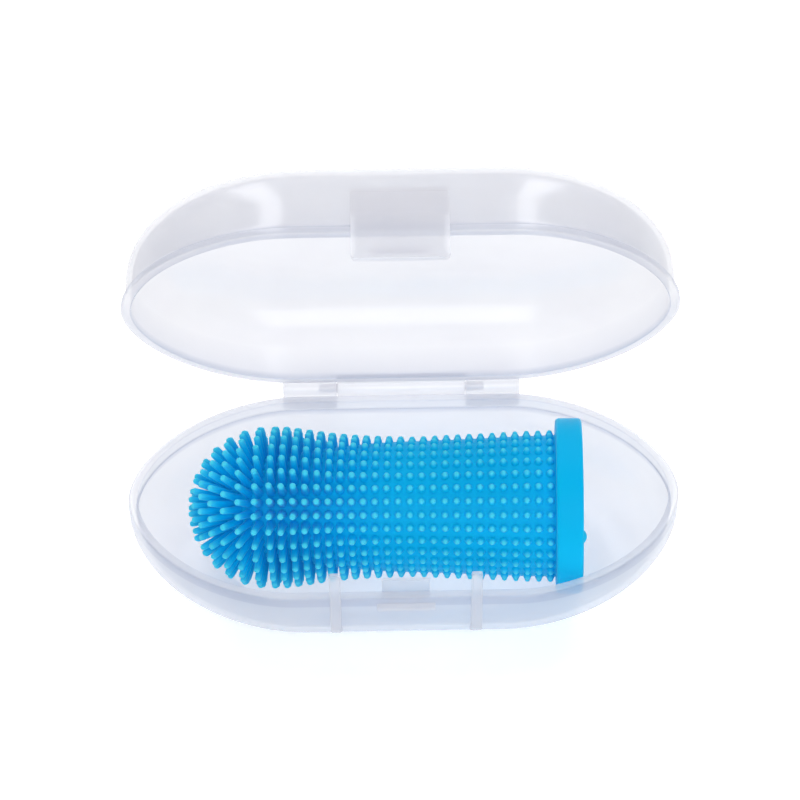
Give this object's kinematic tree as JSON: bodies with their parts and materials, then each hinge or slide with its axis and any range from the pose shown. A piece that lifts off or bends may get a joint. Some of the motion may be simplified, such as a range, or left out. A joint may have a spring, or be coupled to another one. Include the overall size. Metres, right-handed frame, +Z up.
{
  "type": "pet toothbrush",
  "caption": "Finger-worn silicone pet toothbrush with soft bristles and a grip cuff, lying in a hinged, translucent, oval travel case with a snap latch.",
  "frame": {"origin": "centre of the flat underside of the tray, which rests on the table", "axes": "+X along the long axis of the case, towards the brush's open cuff; +Y towards the hinge at the back; +Z up"},
  "size_m": [0.0838, 0.059, 0.0591],
  "materials": {
    "translucent_polypropylene": "moulded, milky translucent, satin",
    "blue_silicone": "soft matt silicone, azure, slightly translucent at thin edges"
  },
  "bodies": {
    "case_base": {"tray_shell": "translucent_polypropylene", "tray_rim": "translucent_polypropylene", "hinge_lug_left": "translucent_polypropylene", "hinge_lug_right": "translucent_polypropylene", "latch_guard_left": "translucent_polypropylene", "latch_guard_right": "translucent_polypropylene", "latch_catch": "translucent_polypropylene", "locating_tongue": "translucent_polypropylene"},
    "case_lid": {"lid_shell": "translucent_polypropylene", "lid_rim": "translucent_polypropylene", "lid_hinge_barrel": "translucent_polypropylene", "hinge_pin_left": "translucent_polypropylene", "hinge_pin_right": "translucent_polypropylene", "lid_latch_pad": "translucent_polypropylene"},
    "latch_tab": {"latch_tab": "translucent_polypropylene", "latch_hook": "translucent_polypropylene"},
    "finger_brush": {"finger_sleeve": "blue_silicone", "grip_cuff": "blue_silicone", "cuff_pip": "blue_silicone", "crown_bristles": "blue_silicone", "head_bristles": "blue_silicone", "body_nubs": "blue_silicone"}
  },
  "joints": [
    {"name": "lid_hinge", "type": "hinge", "parent": "case_base", "child": "case_lid", "pos_m": [0, 0.02395, 0.0135], "axis": [-1, 0, 0], "range_deg": [-69.4, 100.6]},
    {"name": "brush_lift", "type": "slide", "parent": "case_base", "child": "finger_brush", "axis": [0, -0.5, 0.866], "range_m": [0, 0.06]},
    {"name": "latch_flex", "type": "hinge", "parent": "case_lid", "child": "latch_tab", "pos_m": [0, 0.00821, 0.05793], "axis": [-1, 0, 0], "range_deg": [0, 9], "stiffness_Nm_per_rad": 0.05}
  ]
}
